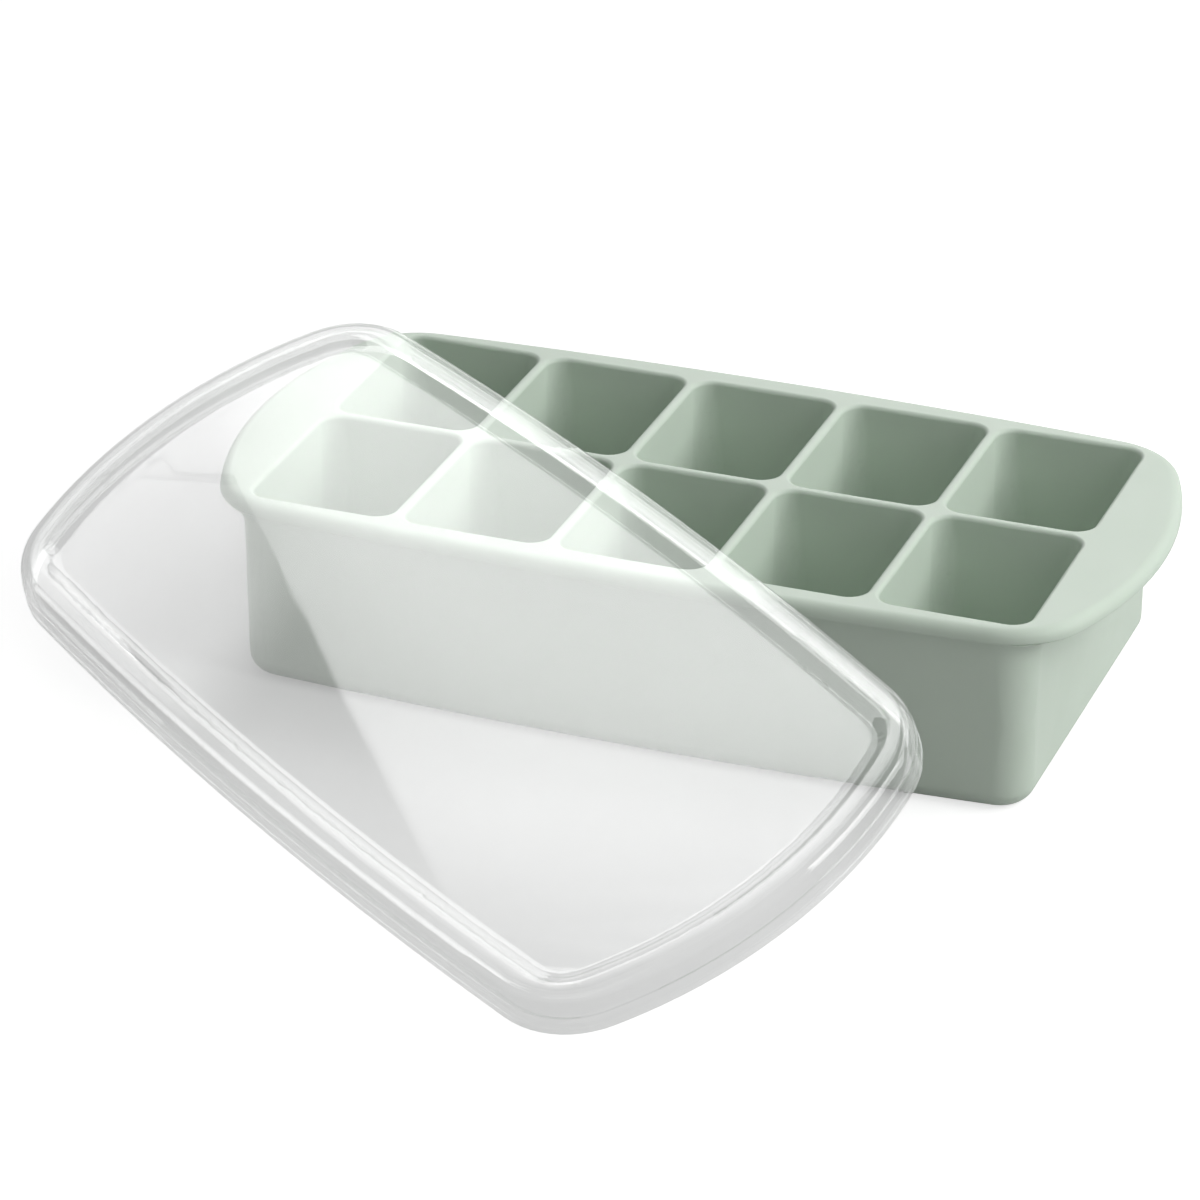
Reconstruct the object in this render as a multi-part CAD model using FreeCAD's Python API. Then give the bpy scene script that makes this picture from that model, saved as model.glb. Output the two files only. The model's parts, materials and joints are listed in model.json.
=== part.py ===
import FreeCAD, Part
import math
import os

from FreeCAD import Placement, Rotation, Vector

# Baby food freezer tray: a moulded silicone tray of two rows of cells with a
# bulged grip flange at each end, and its clear press-on lid, taken off and
# leaning with its underside on the tray's rim and one corner on the table.
#
# Millimetres, +Z up. The origin is the middle of the tray's underside, X runs
# along the tray's length and Y across it.

# ---------------------------------------------------------------- tray sizes
cells_long = 5              # cells along X
cells_across = 2            # rows of cells
pitch_x = 38.0              # centre to centre of the cells along X
pitch_y = 49.7              # centre to centre of the two rows
divider = 2.6               # wall between two cells, at their mouths
tray_height = 46.3          # underside to the rim's flat top
floor_thickness = 2.5       # under each cell
cell_draft = 2.0            # degrees the cell walls lean outward
mouth_corner_r = 4.8        # plan radius of a cell's corner at its mouth
floor_corner_r = 7.6        # plan radius of a cell's corner at its floor
cell_floor_r = 6.0          # fillet between a cell's walls and its floor
mouth_lip_r = 1.1           # rounding of the mouth's edge

end_wall = 2.2              # outside wall past the last cell's mouth
side_wall = 6.5             # outside wall beside a mouth, at mid length
side_bow_r = 1240.0         # plan radius of the bowed long sides of the body
body_corner_r = 8.6         # plan radius of the body's upright corners
body_taper = 0.2            # the body is this much narrower all round at the foot
foot_r = 5.0                # rounding round the underside

rim_thickness = 3.4         # depth of the rolled rim
rim_overhang = 1.3          # rim past the body along the long sides
flange_reach = 15.95        # grip flange past the body at mid width
flange_bow_r = 110.0        # plan radius of a flange's bulged end
rim_corner_r = 20.0         # plan radius where flange and long side meet
rim_roll_r = 2.8            # rounding of the rim's top edge
rim_under_r = 0.3           # rounding of the rim's lower edge
cove_r = 5.0                # hollow blend from the end wall up into the flange
cove_side = 0.8             # how far the blend stands out along the long sides
cove_steps = 5

# ---------------------------------------------------------------- lid sizes
lid_wall = 1.4              # thickness of the clear plastic
lid_clearance = 0.8         # rim to the lid's skirt when it is pressed on
lid_height = 9.8            # skirt's edge to the raised ring's top
lip_out = 0.7               # lip past the skirt
lip_height = 1.6            # lip's depth
lid_roll_r = 3.0            # rounding of the lid's outer top edge
ring_width = 6.8            # raised ring, skirt's outside to the recess's edge
recess_depth = 2.0          # panel below the ring
recess_slope = 2.5          # plan width of the recess's sloping edge
recess_corner_r = 8.5       # plan radius of the recess at the panel
ring_edge_share = 0.55      # of the slope, taken by the rounding into the ring
panel_edge_share = 0.40     # of the slope, taken by the rounding into the panel
seat_gap = 0.3              # panel to the tray's top when it is pressed on
snap_reach = 1.1            # ridge that clips under the rim
snap_height = 1.5
snap_gap = 0.25             # rim's underside to the ridge
step_out = 0.35             # thicker foot of the skirt, over the ridge
step_height = 5.4

# ------------------------------------------------------- where the lid leans
lid_yaw = -32.5             # degrees about Z
lid_tilt = 21.5             # degrees about X, after the yaw
lid_roll = -4.5             # degrees about Y, after the tilt
lid_from_end = 85.2         # lid's middle from the tray's left end, along X
lean_gap = 0.3              # panel's underside to the rim that carries it


# ------------------------------------------------------------------ outlines
def outline(half_length, half_width, side_r, end_r, corner_r, z):
    """Closed wire of four arcs and four corner arcs, or with straight ends
    where end_r is 0. half_length and half_width are taken on the axes."""
    side_c = half_width - side_r
    reach = side_r - corner_r
    if end_r:
        end_c = half_length - end_r
        swing = end_r - corner_r
        gap = math.hypot(end_c, side_c)
        along = (swing * swing - reach * reach + gap * gap) / (2.0 * gap)
        off = math.sqrt(max(swing * swing - along * along, 0.0))
        ux, uy = -end_c / gap, side_c / gap
        cx = end_c + along * ux - off * uy
        cy = along * uy + off * ux
        if cy < 0.0:
            cx = end_c + along * ux + off * uy
            cy = along * uy - off * ux
        turn = math.atan2(cy, cx - end_c)
    else:
        cx = half_length - corner_r
        cy = side_c + math.sqrt(reach * reach - cx * cx)
        turn = 0.0
    lean = math.atan2(cx, cy - side_c)
    quarter = 0.5 * (turn + math.pi / 2.0 - lean)

    def corner(angle, sx, sy):
        x = sx * (cx + corner_r * math.cos(angle))
        y = sy * (cy + corner_r * math.sin(angle))
        return Vector(x, y, z)

    top = math.pi / 2.0 - lean
    edges = []
    signs = [(1, 1), (-1, 1), (-1, -1), (1, -1)]
    for i, (sx, sy) in enumerate(signs):
        nx, ny = signs[(i + 1) % 4]
        first, last = (turn, top) if sx * sy > 0 else (top, turn)
        here = [corner(first, sx, sy), corner(quarter, sx, sy), corner(last, sx, sy)]
        edges.append(Part.Arc(*here).toShape())
        after = corner(last, nx, ny)
        if sy == ny:
            middle = Vector(0.0, sy * half_width, z)
            edges.append(Part.Arc(here[2], middle, after).toShape())
        elif end_r:
            middle = Vector(sx * half_length, 0.0, z)
            edges.append(Part.Arc(here[2], middle, after).toShape())
        else:
            edges.append(Part.makeLine(here[2], after))
    return Part.Wire(edges)


def rounded_rectangle(length, width, corner_r, z):
    """Closed wire of a rectangle with rounded corners, centred on Z."""
    x, y, r = length / 2.0, width / 2.0, corner_r
    k = r * (1.0 - math.sqrt(0.5))
    edges = []
    corners = [(1, 1), (-1, 1), (-1, -1), (1, -1)]
    for i, (sx, sy) in enumerate(corners):
        nx, ny = corners[(i + 1) % 4]
        on_end = Vector(sx * x, sy * (y - r), z)
        on_side = Vector(sx * (x - r), sy * y, z)
        first, last = (on_end, on_side) if sx * sy > 0 else (on_side, on_end)
        middle = Vector(sx * (x - k), sy * (y - k), z)
        edges.append(Part.Arc(first, middle, last).toShape())
        if sy == ny:
            edges.append(Part.makeLine(last, Vector(nx * (x - r), ny * y, z)))
        else:
            edges.append(Part.makeLine(last, Vector(nx * x, ny * (y - r), z)))
    return Part.Wire(edges)


def prism(wire, height):
    return Part.Face(wire).extrude(Vector(0, 0, height))


def loft(wires):
    return Part.makeLoft(wires, True, True)


def edges_at(shape, z, tolerance=1e-4):
    """Edges of the shape that lie wholly at one height."""
    found = []
    for edge in shape.Edges:
        box = edge.BoundBox
        if abs(box.ZMin - z) < tolerance and abs(box.ZMax - z) < tolerance:
            found.append(edge)
    return found


# ---------------------------------------------------------------------- tray
grid_half_x = cells_long * pitch_x / 2.0
grid_half_y = cells_across * pitch_y / 2.0
mouth_x = pitch_x - divider
mouth_y = pitch_y - divider
cell_depth = tray_height - floor_thickness
draft_in = cell_depth * math.tan(math.radians(cell_draft))

body_half_x = grid_half_x - divider / 2.0 + end_wall
body_half_y = grid_half_y - divider / 2.0 + side_wall
rim_half_x = body_half_x + flange_reach
rim_half_y = body_half_y + rim_overhang
rim_under_z = tray_height - rim_thickness


def body_outline(out_x, out_y, z):
    return outline(body_half_x + out_x, body_half_y + out_y, side_bow_r + out_y, 0,
                   body_corner_r + (out_x + out_y) / 2.0, z)


def rim_outline(out, z):
    return outline(rim_half_x + out, rim_half_y + out, side_bow_r + rim_overhang + out,
                   flange_bow_r + out, rim_corner_r + out, z)


def make_body():
    cove_z = rim_under_z - cove_r
    shape = loft([body_outline(-body_taper, -body_taper, 0.0), body_outline(0.0, 0.0, cove_z)])
    foot = edges_at(shape, 0.0)
    shape = shape.makeFillet(foot_r, foot)
    rings = []
    for i in range(cove_steps + 1):
        angle = math.radians(90.0 * i / cove_steps)
        share = 1.0 - math.cos(angle)
        z = cove_z + cove_r * math.sin(angle)
        rings.append(body_outline(cove_r * share, cove_side * share, z))
    cove = loft(rings)
    core = prism(body_outline(0.0, 0.0, rim_under_z), rim_thickness / 2.0)
    return shape, cove, core


def make_rim():
    plate = prism(rim_outline(0.0, rim_under_z), rim_thickness)
    plate = plate.makeFillet(rim_roll_r, edges_at(plate, tray_height))
    return plate.makeFillet(rim_under_r, edges_at(plate, rim_under_z))


def make_cell():
    """Space inside one cell, standing on its floor and open at the rim's top."""
    low = rounded_rectangle(mouth_x - 2.0 * draft_in, mouth_y - 2.0 * draft_in,
                            floor_corner_r, floor_thickness)
    high = rounded_rectangle(mouth_x, mouth_y, mouth_corner_r, tray_height)
    space = loft([low, high])
    return space.makeFillet(cell_floor_r, edges_at(space, floor_thickness))


def cell_centres():
    for i in range(cells_long):
        for j in range(cells_across):
            x = (i + 0.5) * pitch_x - grid_half_x
            y = (j + 0.5) * pitch_y - grid_half_y
            yield Vector(x, y, 0.0)


def make_tray():
    shape, cove, core = make_body()
    tray = shape.multiFuse([cove, core, make_rim()]).removeSplitter()
    cell = make_cell()
    cells = []
    for centre in cell_centres():
        copy = cell.copy()
        copy.translate(centre)
        cells.append(copy)
    tray = tray.cut(cells)
    mouths = []
    for edge in edges_at(tray, tray_height):
        box = edge.BoundBox
        inside_x = max(abs(box.XMin), abs(box.XMax)) < grid_half_x
        inside_y = max(abs(box.YMin), abs(box.YMax)) < grid_half_y
        if inside_x and inside_y:
            mouths.append(edge)
    return tray.makeFillet(mouth_lip_r, mouths)


# ----------------------------------------------------------------------- lid
# The lid is made as it sits on the tray, with its skirt's edge at height 0,
# and then placed where it leans.
skirt_out = lid_clearance + lid_wall
panel_top = lid_height - recess_depth
panel_under = panel_top - lid_wall
skirt_drop = panel_under - seat_gap
snap_top = skirt_drop - rim_thickness - snap_gap
recess_in = ring_width + recess_slope
slope_length = math.hypot(recess_slope, recess_depth)
slope_bend = math.tan(math.atan2(recess_depth, recess_slope) / 2.0)
ring_edge_r = ring_edge_share * slope_length / slope_bend
panel_edge_r = panel_edge_share * slope_length / slope_bend


def lid_outline(out, z):
    return rim_outline(skirt_out + out, z)


def inner_outline(inset, z):
    """Outline inset from the skirt's outside, with the panel's own corners."""
    share = min(inset / recess_in, 1.0)
    corner = rim_corner_r + skirt_out
    corner = corner + (recess_corner_r - corner) * share
    return outline(rim_half_x + skirt_out - inset, rim_half_y + skirt_out - inset,
                   side_bow_r + rim_overhang + skirt_out - inset,
                   flange_bow_r + skirt_out - inset, corner, z)


def make_lid():
    shell = prism(lid_outline(0.0, 0.0), lid_height)
    shell = shell.makeFillet(lid_roll_r, edges_at(shell, lid_height))
    lip = prism(lid_outline(lip_out, 0.0), lip_height)
    lip = lip.makeFillet(lip_out / 2.0, edges_at(lip, lip_height))
    step = prism(lid_outline(step_out, 0.0), step_height)
    step = step.makeFillet(step_out * 0.8, edges_at(step, step_height))
    shell = shell.multiFuse([lip, step])

    # the recess, with its sloping edge rounded into the ring and the panel
    recess = loft([inner_outline(recess_in, panel_top),
                   inner_outline(ring_width, lid_height),
                   inner_outline(ring_width, lid_height + 1.0)])
    recess = recess.makeFillet(panel_edge_r, edges_at(recess, panel_top))
    # the space under the panel and inside the skirt
    under = prism(lid_outline(-lid_wall, -1.0), panel_under + 1.0)
    # the channel inside the raised ring, over the tray's rim
    channel_top = lid_height - lid_wall
    slope = recess_slope / recess_depth
    slope_run = slope * (channel_top - panel_under)
    channel = prism(lid_outline(-lid_wall, panel_under), channel_top - panel_under)
    channel = channel.makeFillet(lid_roll_r - lid_wall, edges_at(channel, channel_top))
    core_in = recess_in + lid_wall * (slope - math.hypot(1.0, slope))
    core = loft([inner_outline(core_in, panel_under - 0.5),
                 inner_outline(core_in, panel_under),
                 inner_outline(core_in - slope_run, channel_top),
                 inner_outline(core_in - slope_run, channel_top + 0.5)])
    channel = channel.cut(core)
    shell = shell.cut(recess)
    inside = Part.Face(inner_outline(ring_width - 1.0, lid_height))
    brink = []
    for edge in edges_at(shell, lid_height):
        middle = edge.valueAt((edge.FirstParameter + edge.LastParameter) / 2.0)
        if inside.isInside(middle, 1e-4, True):
            brink.append(edge)
    shell = shell.makeFillet(ring_edge_r, brink)
    shell = shell.cut([under, channel])

    # the ridge that clips under the tray's rim, and the line outside it
    middle = snap_top - snap_height / 2.0
    ridge = loft([lid_outline(-lid_wall / 2.0, snap_top),
                  lid_outline(-lid_wall / 2.0, snap_top - snap_height)])
    bore = loft([lid_outline(-lid_wall - 0.01, snap_top),
                 lid_outline(-lid_wall - snap_reach, middle)])
    bore_low = loft([lid_outline(-lid_wall - snap_reach, middle),
                     lid_outline(-lid_wall - 0.01, snap_top - snap_height)])
    ridge = ridge.cut([bore, bore_low])
    return shell.fuse(ridge).removeSplitter()


def lean_placement():
    """The lid's lowest corner stands on the table, and its panel rests on the
    tray's rim at the corner that reaches furthest up against it."""
    turn = Rotation(Vector(0, 1, 0), lid_roll)
    turn = turn.multiply(Rotation(Vector(1, 0, 0), lid_tilt))
    turn = turn.multiply(Rotation(Vector(0, 0, 1), lid_yaw))
    edge = lid_outline(lip_out, 0.0)
    drop = -min(turn.multVec(point).z for point in edge.discretize(Number=4000))
    normal = turn.multVec(Vector(0, 0, 1))
    # furthest point of the rim's rolled edge along the lid's normal
    track = rim_outline(-rim_roll_r, tray_height - rim_roll_r)
    furthest = max(point.dot(normal) for point in track.discretize(Number=4000))
    level = furthest + rim_roll_r + lean_gap
    x = lid_from_end - rim_half_x
    y = (level - panel_under - x * normal.x - drop * normal.z) / normal.y
    return Placement(Vector(x, y, drop), turn)


# --------------------------------------------------------------------- parts
os.makedirs("parts", exist_ok=True)

tray = make_tray()
lid = make_lid()
lid = lid.transformed(lean_placement().toMatrix(), copy=True)

for name, shape in (("tray", tray), ("lid", lid)):
    shape.exportStep("parts/" + name + ".step")
    box = shape.BoundBox
    print(name, "valid", shape.isValid(), "solids", len(shape.Solids),
          "volume", round(shape.Volume / 1000.0, 2), "ml, box",
          [round(v, 2) for v in (box.XMin, box.XMax, box.YMin, box.YMax, box.ZMin, box.ZMax)])
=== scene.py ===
"""Looks of the baby food freezer tray: a sage green silicone tray and its clear
press-on lid, which leans on the tray's rim. Metres, +Z up, the same frame as
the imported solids. Laid out as an add-on; run as a script, it builds the scene.
"""
import json
import math

import bpy
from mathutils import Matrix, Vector

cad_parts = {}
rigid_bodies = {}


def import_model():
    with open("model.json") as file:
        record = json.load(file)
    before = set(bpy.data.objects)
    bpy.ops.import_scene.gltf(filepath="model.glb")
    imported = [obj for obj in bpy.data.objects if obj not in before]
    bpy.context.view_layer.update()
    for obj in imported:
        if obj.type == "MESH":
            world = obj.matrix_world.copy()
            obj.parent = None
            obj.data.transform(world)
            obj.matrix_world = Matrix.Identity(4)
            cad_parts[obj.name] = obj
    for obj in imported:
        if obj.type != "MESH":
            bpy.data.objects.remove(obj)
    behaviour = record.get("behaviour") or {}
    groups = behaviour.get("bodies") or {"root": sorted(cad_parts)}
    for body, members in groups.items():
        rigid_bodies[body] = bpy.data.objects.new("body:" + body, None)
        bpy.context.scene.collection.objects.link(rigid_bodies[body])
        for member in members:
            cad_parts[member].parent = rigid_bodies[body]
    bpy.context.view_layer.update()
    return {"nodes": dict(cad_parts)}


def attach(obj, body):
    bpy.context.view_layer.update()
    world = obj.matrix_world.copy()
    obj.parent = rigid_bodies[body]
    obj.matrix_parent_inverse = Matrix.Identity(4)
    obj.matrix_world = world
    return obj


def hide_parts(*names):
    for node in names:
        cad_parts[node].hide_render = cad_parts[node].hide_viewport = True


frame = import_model()

bl_info = {
    "name": "Baby food freezer tray",
    "version": (1, 0, 0),
    "blender": (4, 5, 0),
    "location": "View3D > Sidebar > Freezer tray",
    "description": "Silicone freezer tray with a clear press-on lid",
    "category": "Add Mesh",
}

# how a solid's mesh is made smooth
WELD_DISTANCE = 0.000002          # metres; corners closer than this are merged
SMOOTH_ANGLE = 32.0               # degrees; a sharper edge stays an edge
FACE_WEIGHT = 100                 # large faces set the shading along their edges

# noises: features per metre, and how many finer layers each one has
SILICONE_CLOUDS = (38.0, 3.0)
SILICONE_SATIN = (120.0, 2.0)
SILICONE_WAVES = (26.0, 1.0)
SILICONE_SKIN = (1500.0, 2.0)
LID_POLISH = (60.0, 2.0)
LID_WAVES = (22.0, 1.0)
FLOOR_GRAIN = (400.0, 2.0)
NOISE_RANGE = (0.3, 0.7)          # where nearly all values of a noise lie

# the silicone's surface
SATIN_STEPS = (-0.03, 0.04)       # roughness below and above its setting
WAVE_SHARE = 60.0                 # height of the slow waves, in skin depths
SILICONE_SHADER = {
    "IOR": 1.41,
    "Specular IOR Level": 0.38,
    "Subsurface Weight": 0.18,
    "Subsurface Radius": (0.8, 1.0, 0.8),
    "Subsurface Scale": 0.003,
    "Sheen Weight": 0.06,
    "Sheen Roughness": 0.45,
}

# the lid's surface
POLISH_SHARES = (0.6, 1.4)        # roughness, in shares of its setting
LID_SHADE = (0.94, 0.945, 0.94)   # share of lamp light that passes each face

# the stage
FLOOR_GREY = (0.53, 0.55)
SENSOR_WIDTH = 36.0               # millimetres
CAMERA_REACH = 50.0               # metres

# name, place, size, radiance
LAMPS = (
    ("key_lamp", (1.30, 0.05, 0.92), (1.0, 1.0), 4.85),
    ("rear_lamp", (0.59, 0.84, 1.226), (1.0, 1.0), 2.8),
    ("front_lamp", (-0.15, -1.10, 1.25), (1.0, 1.0), 0.5),
)

# what the lid and the silicone mirror: name, place, size, lean and turn in degrees,
# and the glow: its middle and reach on the softbox, its radiance at its reach and
# in its middle, and the share of the way inwards over which it rises
SOFTBOXES = (
    ("overhead_softbox", (-0.300, 0.5795, 1.046), (0.892, 0.610), 0.0, 39.7,
     ((-0.030, 0.0), (0.589, 0.403), (0.24, 5.2), 0.407)),
    ("side_softbox", (-0.775, 0.456, 1.050), (0.25, 0.208), 0.0, 0.0,
     ((0.0, 0.0), (1.0, 1.0), (3.5, 3.5), 1.0)),
    ("low_card", (-0.665, 0.206, 1.054), (0.57, 0.292), 0.0, 0.0,
     ((-0.080, 0.094), (0.11, 0.11), (1.6, 3.6), 0.5)),
    ("rear_card", (-0.37, 1.55, 0.85), (0.56, 1.2), 90.0, 13.0,
     ((0.0, 0.0), (1.0, 1.0), (2.7, 2.7), 1.0)),
    ("corner_card", (-1.05, 1.25, 0.50), (0.56, 0.8), 90.0, 40.0,
     ((0.0, 0.0), (1.0, 1.0), (1.7, 1.7), 1.0)),
    ("left_card", (-0.875, -0.235, 0.765), (0.48, 0.80), 44.0, -46.3,
     ((0.0, 0.0), (1.0, 1.0), (4.6, 4.6), 1.0)),
)

# strength of the floor's own glow and of the sky, for each kind of ray
FLOOR_GLOW = (
    ("Is Camera Ray", 0.68),
    ("Is Glossy Ray", 0.24),
    ("Is Transmission Ray", 0.24),
)
SKY_GLOW = (
    ("Is Camera Ray", 1.0),
    ("Is Glossy Ray", 1.0),
    ("Is Transmission Ray", 1.0),
)


# ----------------------------------------------------------------- settings
class SiliconeSettings(bpy.types.PropertyGroup):
    """Colour and surface of the moulded silicone."""

    colour: bpy.props.FloatVectorProperty(
        name="Silicone", description="Body colour of the silicone", subtype="COLOR",
        size=3, min=0.0, max=1.0, default=(0.578, 0.665, 0.576))
    deep_colour: bpy.props.FloatVectorProperty(
        name="Cloudy shade", description="Slightly deeper shade clouded into the silicone",
        subtype="COLOR", size=3, min=0.0, max=1.0, default=(0.563, 0.650, 0.561))
    roughness: bpy.props.FloatProperty(
        name="Roughness", description="Surface roughness of the satin silicone",
        min=0.0, max=1.0, default=0.46)
    skin_depth: bpy.props.FloatProperty(
        name="Skin depth", description="Height of the fine moulded skin", unit="LENGTH",
        min=0.0, max=0.001, precision=6, default=0.000004)


class LidSettings(bpy.types.PropertyGroup):
    """Clear plastic of the lid."""

    tint: bpy.props.FloatVectorProperty(
        name="Tint", description="Colour that the clear plastic lets through",
        subtype="COLOR", size=3, min=0.0, max=1.0, default=(0.985, 0.99, 0.987))
    roughness: bpy.props.FloatProperty(
        name="Roughness", description="Polish of the clear plastic", min=0.0, max=1.0,
        default=0.02)
    bend: bpy.props.FloatProperty(
        name="Bend", description="How much the thin sheet bends what is seen through it",
        min=1.0, max=2.0, default=1.003)
    clearness: bpy.props.FloatProperty(
        name="Clearness", description="Share of the light that passes without haze",
        min=0.0, max=1.0, subtype="FACTOR", default=0.96)
    gloss: bpy.props.FloatProperty(
        name="Gloss", description="Refractive index of the polished surface", min=1.0,
        max=2.0, default=1.5)
    wave_depth: bpy.props.FloatProperty(
        name="Wave depth", description="Height of the slow waves in the moulded sheet",
        unit="LENGTH", min=0.0, max=0.001, precision=6, default=0.00004)


class StageSettings(bpy.types.PropertyGroup):
    """Floor, backdrop, light from all round, and camera."""

    floor_size: bpy.props.FloatProperty(
        name="Floor", description="Side of the square floor", unit="LENGTH", min=0.5,
        default=12.0)
    camera_place: bpy.props.FloatVectorProperty(
        name="Camera", description="Where the camera stands", subtype="TRANSLATION",
        size=3, default=(0.37480, -1.04640, 0.57730))
    camera_aim: bpy.props.FloatVectorProperty(
        name="Aim", description="Point that the camera looks at", subtype="TRANSLATION",
        size=3, default=(-0.00042, -0.06420, 0.04630))
    lens: bpy.props.FloatProperty(
        name="Lens", description="Focal length in millimetres", min=10.0, max=400.0,
        default=158.8)
    shift_y: bpy.props.FloatProperty(
        name="Shift", description="Vertical lens shift", min=-0.1, max=0.1,
        default=-0.0104)
    background: bpy.props.FloatVectorProperty(
        name="Background", description="Colour of the backdrop", subtype="COLOR",
        size=3, min=0.0, max=1.0, default=(1.0, 1.0, 1.0))
    fill: bpy.props.FloatProperty(
        name="Fill", description="Strength of the light from all round", min=0.0,
        max=4.0, default=0.23)


SETTINGS = (
    ("freezer_silicone", SiliconeSettings),
    ("freezer_lid", LidSettings),
    ("freezer_stage", StageSettings),
)


# ---------------------------------------------------------------- materials
def new_material(name):
    """An empty material, its node tree and its output node."""
    material = bpy.data.materials.new(name)
    material.use_nodes = True
    tree = material.node_tree
    tree.nodes.clear()
    return material, tree, tree.nodes.new("ShaderNodeOutputMaterial")


def noise(tree, kind):
    """The value of a noise texture read at the piece's own coordinates."""
    coords = tree.nodes.new("ShaderNodeTexCoord")
    node = tree.nodes.new("ShaderNodeTexNoise")
    node.inputs["Scale"].default_value = kind[0]
    node.inputs["Detail"].default_value = kind[1]
    tree.links.new(coords.outputs["Object"], node.inputs["Vector"])
    return node.outputs["Fac"]


def spread(tree, source, low, high):
    """Maps a noise's value to low..high."""
    node = tree.nodes.new("ShaderNodeMapRange")
    node.inputs["From Min"].default_value = NOISE_RANGE[0]
    node.inputs["From Max"].default_value = NOISE_RANGE[1]
    node.inputs["To Min"].default_value = low
    node.inputs["To Max"].default_value = high
    tree.links.new(source, node.inputs["Value"])
    return node.outputs["Result"]


def bump(tree, height, distance, under=None):
    """The normal of a bump of the given real height, over another one if given."""
    node = tree.nodes.new("ShaderNodeBump")
    node.inputs["Strength"].default_value = 1.0
    node.inputs["Distance"].default_value = distance
    tree.links.new(height, node.inputs["Height"])
    if under:
        tree.links.new(under, node.inputs["Normal"])
    return node.outputs["Normal"]


def silicone_material(settings):
    """Satin moulded silicone: faintly clouded colour and a fine soft skin."""
    material, tree, output = new_material("sage_silicone")
    links = tree.links
    shader = tree.nodes.new("ShaderNodeBsdfPrincipled")
    for name, value in SILICONE_SHADER.items():
        shader.inputs[name].default_value = value

    clouds = spread(tree, noise(tree, SILICONE_CLOUDS), 0.0, 1.0)
    mix = tree.nodes.new("ShaderNodeMix")
    mix.data_type = "RGBA"
    mix.inputs["A"].default_value = (*settings.deep_colour, 1.0)
    mix.inputs["B"].default_value = (*settings.colour, 1.0)
    links.new(clouds, mix.inputs["Factor"])
    links.new(mix.outputs["Result"], shader.inputs["Base Color"])

    smoother, rougher = (settings.roughness + step for step in SATIN_STEPS)
    satin = spread(tree, noise(tree, SILICONE_SATIN), smoother, rougher)
    links.new(satin, shader.inputs["Roughness"])

    slow = bump(tree, noise(tree, SILICONE_WAVES), settings.skin_depth * WAVE_SHARE)
    fine = bump(tree, noise(tree, SILICONE_SKIN), settings.skin_depth, slow)
    links.new(fine, shader.inputs["Normal"])
    links.new(shader.outputs["BSDF"], output.inputs["Surface"])
    return material


def clear_material(settings):
    """Clear polished plastic with slow waves, letting lamp light through."""
    material, tree, output = new_material("clear_plastic")
    links = tree.links
    shader = tree.nodes.new("ShaderNodeBsdfPrincipled")
    shader.inputs["Base Color"].default_value = (*settings.tint, 1.0)
    shader.inputs["Transmission Weight"].default_value = settings.clearness
    shader.inputs["IOR"].default_value = settings.bend
    shader.inputs["Coat Weight"].default_value = 1.0
    shader.inputs["Coat IOR"].default_value = settings.gloss
    shader.inputs["Coat Roughness"].default_value = settings.roughness

    smoother, rougher = (settings.roughness * share for share in POLISH_SHARES)
    polish = spread(tree, noise(tree, LID_POLISH), smoother, rougher)
    links.new(polish, shader.inputs["Roughness"])

    slow = bump(tree, noise(tree, LID_WAVES), settings.wave_depth)
    links.new(slow, shader.inputs["Normal"])
    links.new(slow, shader.inputs["Coat Normal"])

    through = tree.nodes.new("ShaderNodeBsdfTransparent")
    through.inputs["Color"].default_value = (*LID_SHADE, 1.0)
    path = tree.nodes.new("ShaderNodeLightPath")
    mix = tree.nodes.new("ShaderNodeMixShader")
    links.new(path.outputs["Is Shadow Ray"], mix.inputs["Fac"])
    links.new(shader.outputs["BSDF"], mix.inputs[1])
    links.new(through.outputs["BSDF"], mix.inputs[2])
    links.new(mix.outputs["Shader"], output.inputs["Surface"])
    return material


def ray_strength(tree, rays):
    """A strength for each kind of ray that is named, and 0 for the others."""
    path = tree.nodes.new("ShaderNodeLightPath")
    total = None
    for name, strength in rays:
        scaled = tree.nodes.new("ShaderNodeMath")
        scaled.operation = "MULTIPLY"
        scaled.inputs[1].default_value = strength
        tree.links.new(path.outputs[name], scaled.inputs[0])
        if total is None:
            total = scaled.outputs["Value"]
            continue
        larger = tree.nodes.new("ShaderNodeMath")
        larger.operation = "MAXIMUM"
        tree.links.new(total, larger.inputs[0])
        tree.links.new(scaled.outputs["Value"], larger.inputs[1])
        total = larger.outputs["Value"]
    return total


def floor_material(colour):
    """Pale floor that reads white and keeps a soft shadow."""
    material, tree, output = new_material("studio_floor")
    links = tree.links
    diffuse = tree.nodes.new("ShaderNodeBsdfDiffuse")
    grain = spread(tree, noise(tree, FLOOR_GRAIN), *FLOOR_GREY)
    links.new(grain, diffuse.inputs["Color"])
    glow = tree.nodes.new("ShaderNodeEmission")
    glow.inputs["Color"].default_value = (*colour, 1.0)
    links.new(ray_strength(tree, FLOOR_GLOW), glow.inputs["Strength"])
    both = tree.nodes.new("ShaderNodeAddShader")
    links.new(diffuse.outputs["BSDF"], both.inputs[0])
    links.new(glow.outputs["Emission"], both.inputs[1])
    links.new(both.outputs["Shader"], output.inputs["Surface"])
    return material


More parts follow.
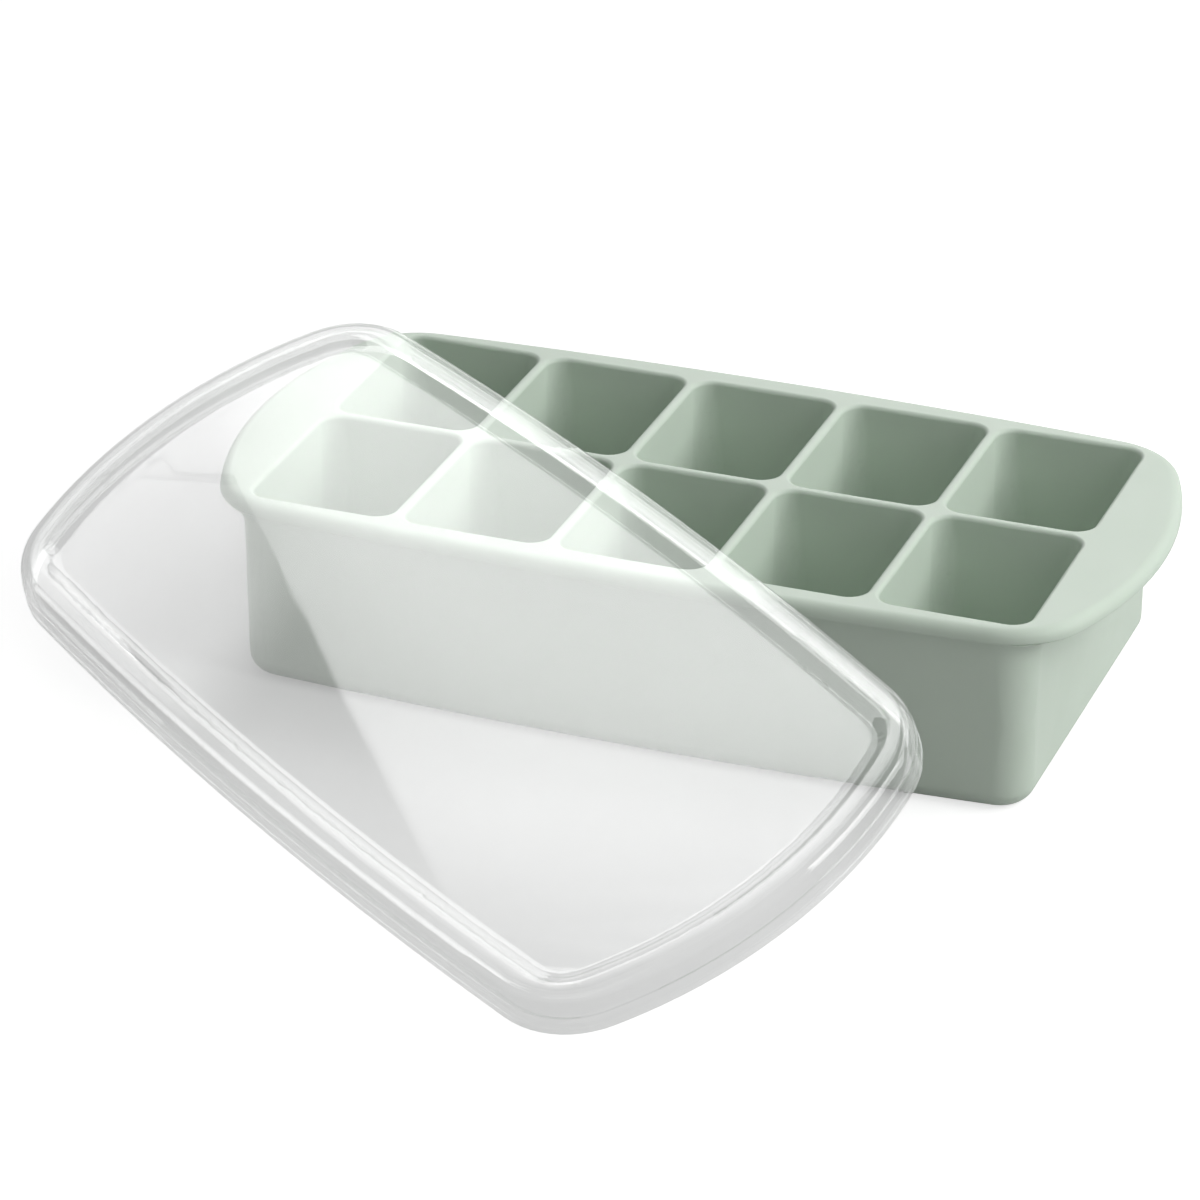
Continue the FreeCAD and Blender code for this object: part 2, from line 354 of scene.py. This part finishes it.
def softbox_material(name, size, middle, reach, radiance, fade):
    """Glow that is brightest round its middle and fades towards its reach."""
    material, tree, output = new_material(name)
    links = tree.links
    coords = tree.nodes.new("ShaderNodeTexCoord")
    place = tree.nodes.new("ShaderNodeMapping")
    place.inputs["Scale"].default_value = (size[0] / reach[0], size[1] / reach[1], 1.0)
    place.inputs["Location"].default_value = (-middle[0] / reach[0], -middle[1] / reach[1], 0.0)
    links.new(coords.outputs["Object"], place.inputs["Vector"])
    nearness = tree.nodes.new("ShaderNodeTexGradient")
    nearness.gradient_type = "SPHERICAL"
    links.new(place.outputs["Vector"], nearness.inputs["Vector"])
    level = tree.nodes.new("ShaderNodeMapRange")
    level.interpolation_type = "SMOOTHSTEP"
    level.inputs["From Max"].default_value = fade
    level.inputs["To Min"].default_value = radiance[0]
    level.inputs["To Max"].default_value = radiance[1]
    links.new(nearness.outputs["Fac"], level.inputs["Value"])
    glow = tree.nodes.new("ShaderNodeEmission")
    links.new(level.outputs["Result"], glow.inputs["Strength"])
    links.new(glow.outputs["Emission"], output.inputs["Surface"])
    return material


# -------------------------------------------------------------------- tools
def deselect():
    """Leaves nothing selected and no piece in edit mode."""
    if bpy.context.object and bpy.context.object.mode != "OBJECT":
        bpy.ops.object.mode_set(mode="OBJECT")
    bpy.ops.object.select_all(action="DESELECT")


def welded_copy(node, name):
    """A smooth-shaded copy of a solid's mesh, its loose triangles merged."""
    deselect()
    source = frame["nodes"][node]
    source.select_set(True)
    bpy.context.view_layer.objects.active = source
    bpy.ops.object.duplicate(linked=False)
    piece = bpy.context.object
    for key in list(piece.keys()):
        if key.startswith("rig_"):
            del piece[key]
    piece.name = name
    piece.data.name = name
    bpy.ops.object.parent_clear(type="CLEAR_KEEP_TRANSFORM")
    if piece.data.has_custom_normals:
        bpy.ops.mesh.customdata_custom_splitnormals_clear()
    bpy.ops.object.mode_set(mode="EDIT")
    bpy.ops.mesh.select_all(action="SELECT")
    bpy.ops.mesh.remove_doubles(threshold=WELD_DISTANCE)
    bpy.ops.object.mode_set(mode="OBJECT")
    bpy.ops.object.shade_smooth_by_angle(angle=math.radians(SMOOTH_ANGLE))
    bpy.ops.object.modifier_add(type="WEIGHTED_NORMAL")
    evened = piece.modifiers[-1]
    evened.keep_sharp = True
    evened.weight = FACE_WEIGHT
    bpy.ops.object.modifier_apply(modifier=evened.name)
    return piece


def dress(piece, material):
    """Gives a piece one material and no other."""
    piece.data.materials.clear()
    piece.data.materials.append(material)


# ---------------------------------------------------------------- operators
class FREEZER_OT_tray(bpy.types.Operator):
    """Make the silicone tray's surface"""

    bl_idname = "freezer.tray"
    bl_label = "Silicone tray"

    def execute(self, context):
        piece = welded_copy("tray", "silicone_tray")
        dress(piece, silicone_material(context.scene.freezer_silicone))
        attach(piece, "tray")
        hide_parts("tray")
        return {"FINISHED"}


class FREEZER_OT_lid(bpy.types.Operator):
    """Make the clear lid's surface"""

    bl_idname = "freezer.lid"
    bl_label = "Clear lid"

    def execute(self, context):
        piece = welded_copy("lid", "clear_lid")
        dress(piece, clear_material(context.scene.freezer_lid))
        # light that the floor and the tray spread passes the lid unchanged
        piece.visible_diffuse = False
        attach(piece, "lid")
        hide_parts("lid")
        return {"FINISHED"}


class FREEZER_OT_stage(bpy.types.Operator):
    """Set the floor, lamps, softboxes, world and camera"""

    bl_idname = "freezer.stage"
    bl_label = "Stage"

    def execute(self, context):
        settings = context.scene.freezer_stage
        deselect()
        bpy.ops.mesh.primitive_plane_add(size=settings.floor_size, location=(0, 0, 0))
        floor = context.object
        floor.name = "floor"
        dress(floor, floor_material(settings.background))
        for lamp in LAMPS:
            self.add_lamp(*lamp)
        for softbox in SOFTBOXES:
            self.add_softbox(*softbox)
        self.set_world(context, settings)
        self.add_camera(context, settings)
        return {"FINISHED"}

    def add_lamp(self, name, place, size, radiance):
        """A rectangular lamp of the given radiance that faces the tray."""
        bpy.ops.object.light_add(type="AREA", location=place)
        lamp = bpy.context.object
        lamp.name = name
        lamp.data.name = name
        lamp.data.shape = "RECTANGLE"
        lamp.data.size, lamp.data.size_y = size
        lamp.data.energy = radiance * math.pi * size[0] * size[1]
        lamp.rotation_euler = (-Vector(place)).to_track_quat("-Z", "Y").to_euler()

    def add_softbox(self, name, place, size, lean, turn, glow):
        """A flat softbox that shows in glossy surfaces, hidden from the camera."""
        deselect()
        bpy.ops.mesh.primitive_plane_add(size=1.0, location=place)
        box = bpy.context.object
        box.name = name
        box.scale = (*size, 1.0)
        box.rotation_euler = (math.radians(lean), 0.0, math.radians(turn))
        box.visible_camera = False
        box.visible_diffuse = False
        box.visible_shadow = False
        dress(box, softbox_material(name, size, *glow))

    def set_world(self, context, settings):
        """A sky that shows and mirrors white, and lights the pieces softly."""
        world = bpy.data.worlds.new("studio")
        context.scene.world = world
        world.use_nodes = True
        tree = world.node_tree
        tree.nodes.clear()
        output = tree.nodes.new("ShaderNodeOutputWorld")
        sky = tree.nodes.new("ShaderNodeBackground")
        sky.inputs["Color"].default_value = (*settings.background, 1.0)
        rays = SKY_GLOW + (("Is Diffuse Ray", settings.fill),)
        tree.links.new(ray_strength(tree, rays), sky.inputs["Strength"])
        tree.links.new(sky.outputs["Background"], output.inputs["Surface"])

    def add_camera(self, context, settings):
        """The camera, looking at its aim."""
        data = bpy.data.cameras.new("camera")
        camera = bpy.data.objects.new("camera", data)
        context.scene.collection.objects.link(camera)
        place = Vector(settings.camera_place)
        direction = Vector(settings.camera_aim) - place
        camera.location = place
        camera.rotation_euler = direction.to_track_quat("-Z", "Y").to_euler()
        data.sensor_width = SENSOR_WIDTH
        data.lens = settings.lens
        data.shift_y = settings.shift_y
        data.clip_end = CAMERA_REACH
        context.scene.camera = camera
        context.scene.view_settings.view_transform = "Standard"


class FREEZER_PT_panel(bpy.types.Panel):
    """Freezer tray pieces"""

    bl_label = "Freezer tray"
    bl_idname = "FREEZER_PT_panel"
    bl_space_type = "VIEW_3D"
    bl_region_type = "UI"
    bl_category = "Freezer tray"

    def draw(self, context):
        for name, _ in SETTINGS:
            box = self.layout.box()
            group = getattr(context.scene, name)
            for key in group.__annotations__:
                box.prop(group, key)
        for operator in OPERATORS:
            self.layout.operator(operator.bl_idname)


OPERATORS = (FREEZER_OT_tray, FREEZER_OT_lid, FREEZER_OT_stage)
CLASSES = (SiliconeSettings, LidSettings, StageSettings, *OPERATORS, FREEZER_PT_panel)


def register():
    for item in CLASSES:
        bpy.utils.register_class(item)
    for name, group in SETTINGS:
        setattr(bpy.types.Scene, name, bpy.props.PointerProperty(type=group))


def unregister():
    for name, _ in SETTINGS:
        delattr(bpy.types.Scene, name)
    for item in reversed(CLASSES):
        bpy.utils.unregister_class(item)


def main():
    register()
    bpy.ops.freezer.tray()
    bpy.ops.freezer.lid()
    bpy.ops.freezer.stage()


if __name__ == "__main__":
    main()
